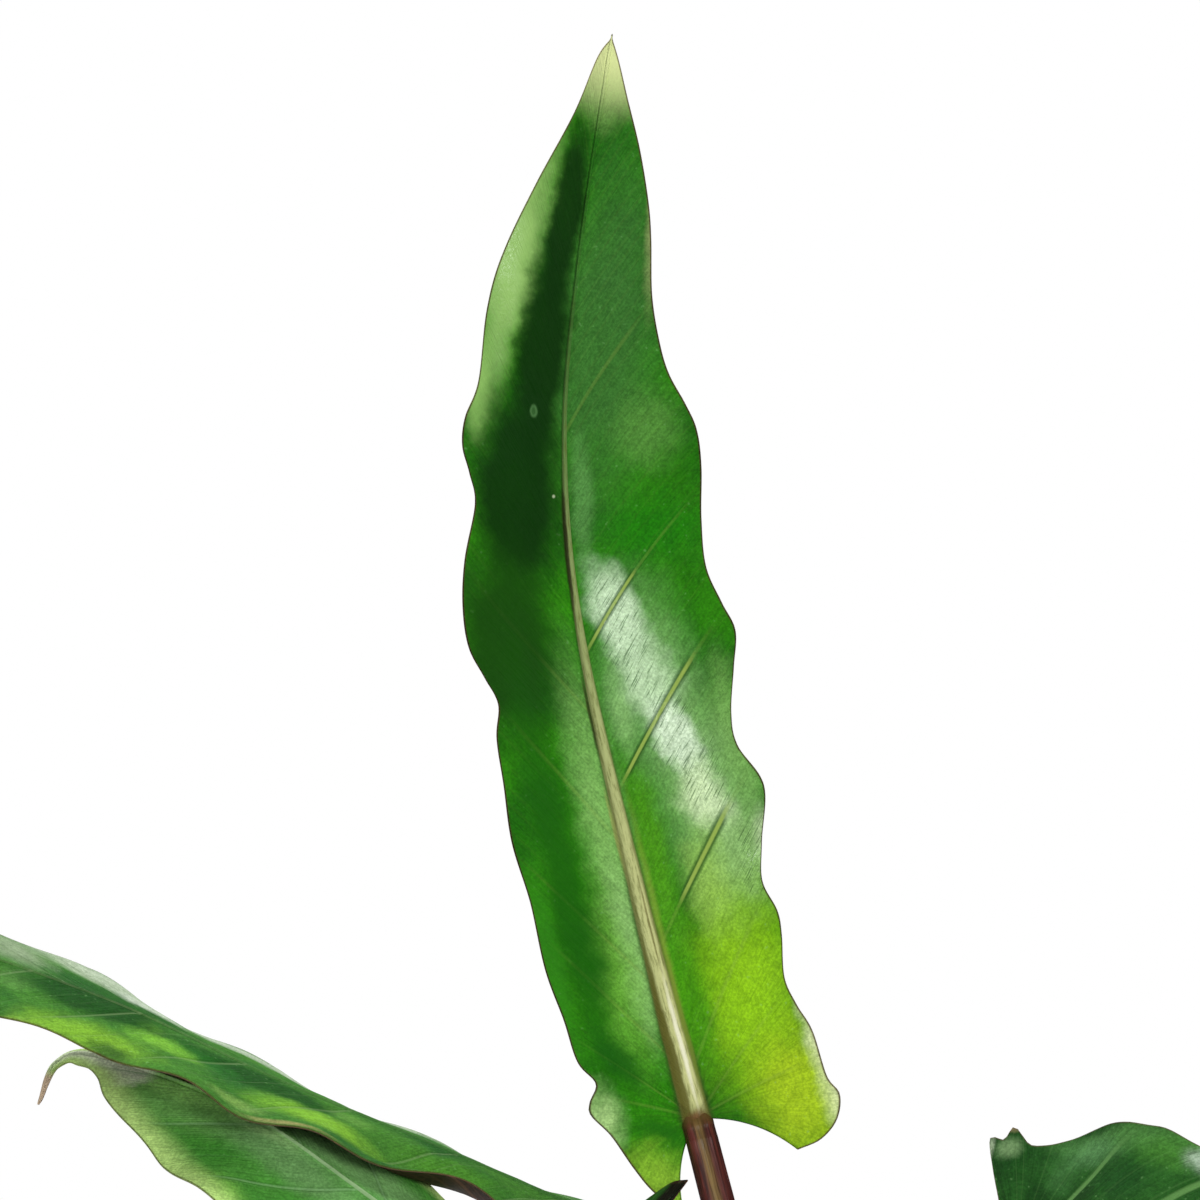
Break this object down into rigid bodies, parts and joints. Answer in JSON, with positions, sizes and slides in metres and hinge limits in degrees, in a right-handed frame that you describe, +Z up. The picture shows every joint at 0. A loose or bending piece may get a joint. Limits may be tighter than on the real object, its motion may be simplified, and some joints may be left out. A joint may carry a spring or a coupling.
{
  "type": "potted alocasia lauterbachiana",
  "caption": "Potted Alocasia lauterbachiana: narrow wavy-edged sword-shaped leaves on maroon petioles, in a plain tapered grower's pot.",
  "frame": {"origin": "centre of the pot's foot, on the surface it stands on", "axes": "+Z up the pot's axis; the upright leaf shows its upper face towards -Y, and +X is to its right"},
  "size_m": [0.4623, 0.3886, 0.6672],
  "materials": {
    "pot": "satin",
    "soil": "matte",
    "crown": "matte",
    "petiole": "satin",
    "blade": "satin"
  },
  "bodies": {
    "root": {"pot": "pot", "soil": "soil", "crown": "crown", "petiole_1_upright": "petiole", "petiole_2_left_upper": "petiole", "petiole_3_left_lower": "petiole", "petiole_4_right_front": "petiole", "petiole_5_right_rear": "petiole", "petiole_6_left_rear": "petiole", "petiole_7_front_low": "petiole", "blade_1_upright": "blade", "blade_2_left_upper": "blade", "blade_3_left_lower": "blade", "blade_4_right_front": "blade", "blade_5_right_rear": "blade", "blade_6_left_rear": "blade", "blade_7_front_low": "blade"}
  },
  "joints": []
}
